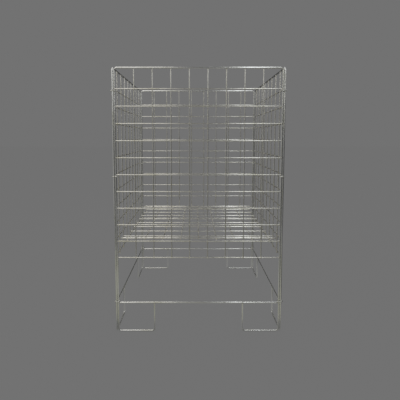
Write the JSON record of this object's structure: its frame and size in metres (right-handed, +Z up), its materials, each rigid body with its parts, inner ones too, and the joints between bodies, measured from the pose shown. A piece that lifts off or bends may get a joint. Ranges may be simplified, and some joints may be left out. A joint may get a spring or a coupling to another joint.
{
  "type": "retail dump bin",
  "caption": "Square free-standing wire dump bin for shop goods: welded mesh panels on bent-rod feet, tied by corner rings, with a hook-on wire shelf that tilts up.",
  "frame": {"origin": "on the floor, under the middle of the bin's box", "axes": "+Z up; the front panel faces -Y; +X to the right seen from the front"},
  "size_m": [0.5124, 0.5134, 0.795],
  "materials": {
    "frame_rod": "bright plated, light handling marks",
    "mesh_wire": "bright plated, dull at the welds",
    "corner_ring": "zinc plated, satin",
    "shelf_wire": "bright plated, the brightest wires"
  },
  "bodies": {
    "bin": {"front_frame": "frame_rod", "right_frame": "frame_rod", "rear_frame": "frame_rod", "left_frame": "frame_rod", "front_mesh": "mesh_wire", "right_mesh": "mesh_wire", "rear_mesh": "mesh_wire", "left_mesh": "mesh_wire", "front_lower_rail": "frame_rod", "right_lower_rail": "frame_rod", "rear_lower_rail": "frame_rod", "left_lower_rail": "frame_rod", "front_left_ring_1": "corner_ring", "front_left_ring_2": "corner_ring", "front_left_ring_3": "corner_ring", "front_right_ring_1": "corner_ring", "front_right_ring_2": "corner_ring", "front_right_ring_3": "corner_ring", "rear_right_ring_1": "corner_ring", "rear_right_ring_2": "corner_ring", "rear_right_ring_3": "corner_ring", "rear_left_ring_1": "corner_ring", "rear_left_ring_2": "corner_ring", "rear_left_ring_3": "corner_ring"},
    "shelf": {"shelf_front_bar": "shelf_wire", "shelf_rear_bar": "shelf_wire", "shelf_hook_wire_1": "shelf_wire", "shelf_hook_wire_2": "shelf_wire", "shelf_hook_wire_3": "shelf_wire", "shelf_hook_wire_4": "shelf_wire", "shelf_runner_1": "shelf_wire", "shelf_runner_2": "shelf_wire", "shelf_runner_3": "shelf_wire", "shelf_runner_4": "shelf_wire", "shelf_runner_5": "shelf_wire", "shelf_cross_wire_1": "shelf_wire", "shelf_cross_wire_2": "shelf_wire", "shelf_cross_wire_3": "shelf_wire", "shelf_cross_wire_4": "shelf_wire", "shelf_cross_wire_5": "shelf_wire", "shelf_cross_wire_6": "shelf_wire", "shelf_cross_wire_7": "shelf_wire", "shelf_cross_wire_8": "shelf_wire", "shelf_cross_wire_9": "shelf_wire"}
  },
  "joints": [
    {"name": "shelf_tilt", "type": "hinge", "parent": "bin", "child": "shelf", "pos_m": [0, 0.25153, 0.2825], "axis": [-1, 0, 0], "range_deg": [0, 45]}
  ]
}
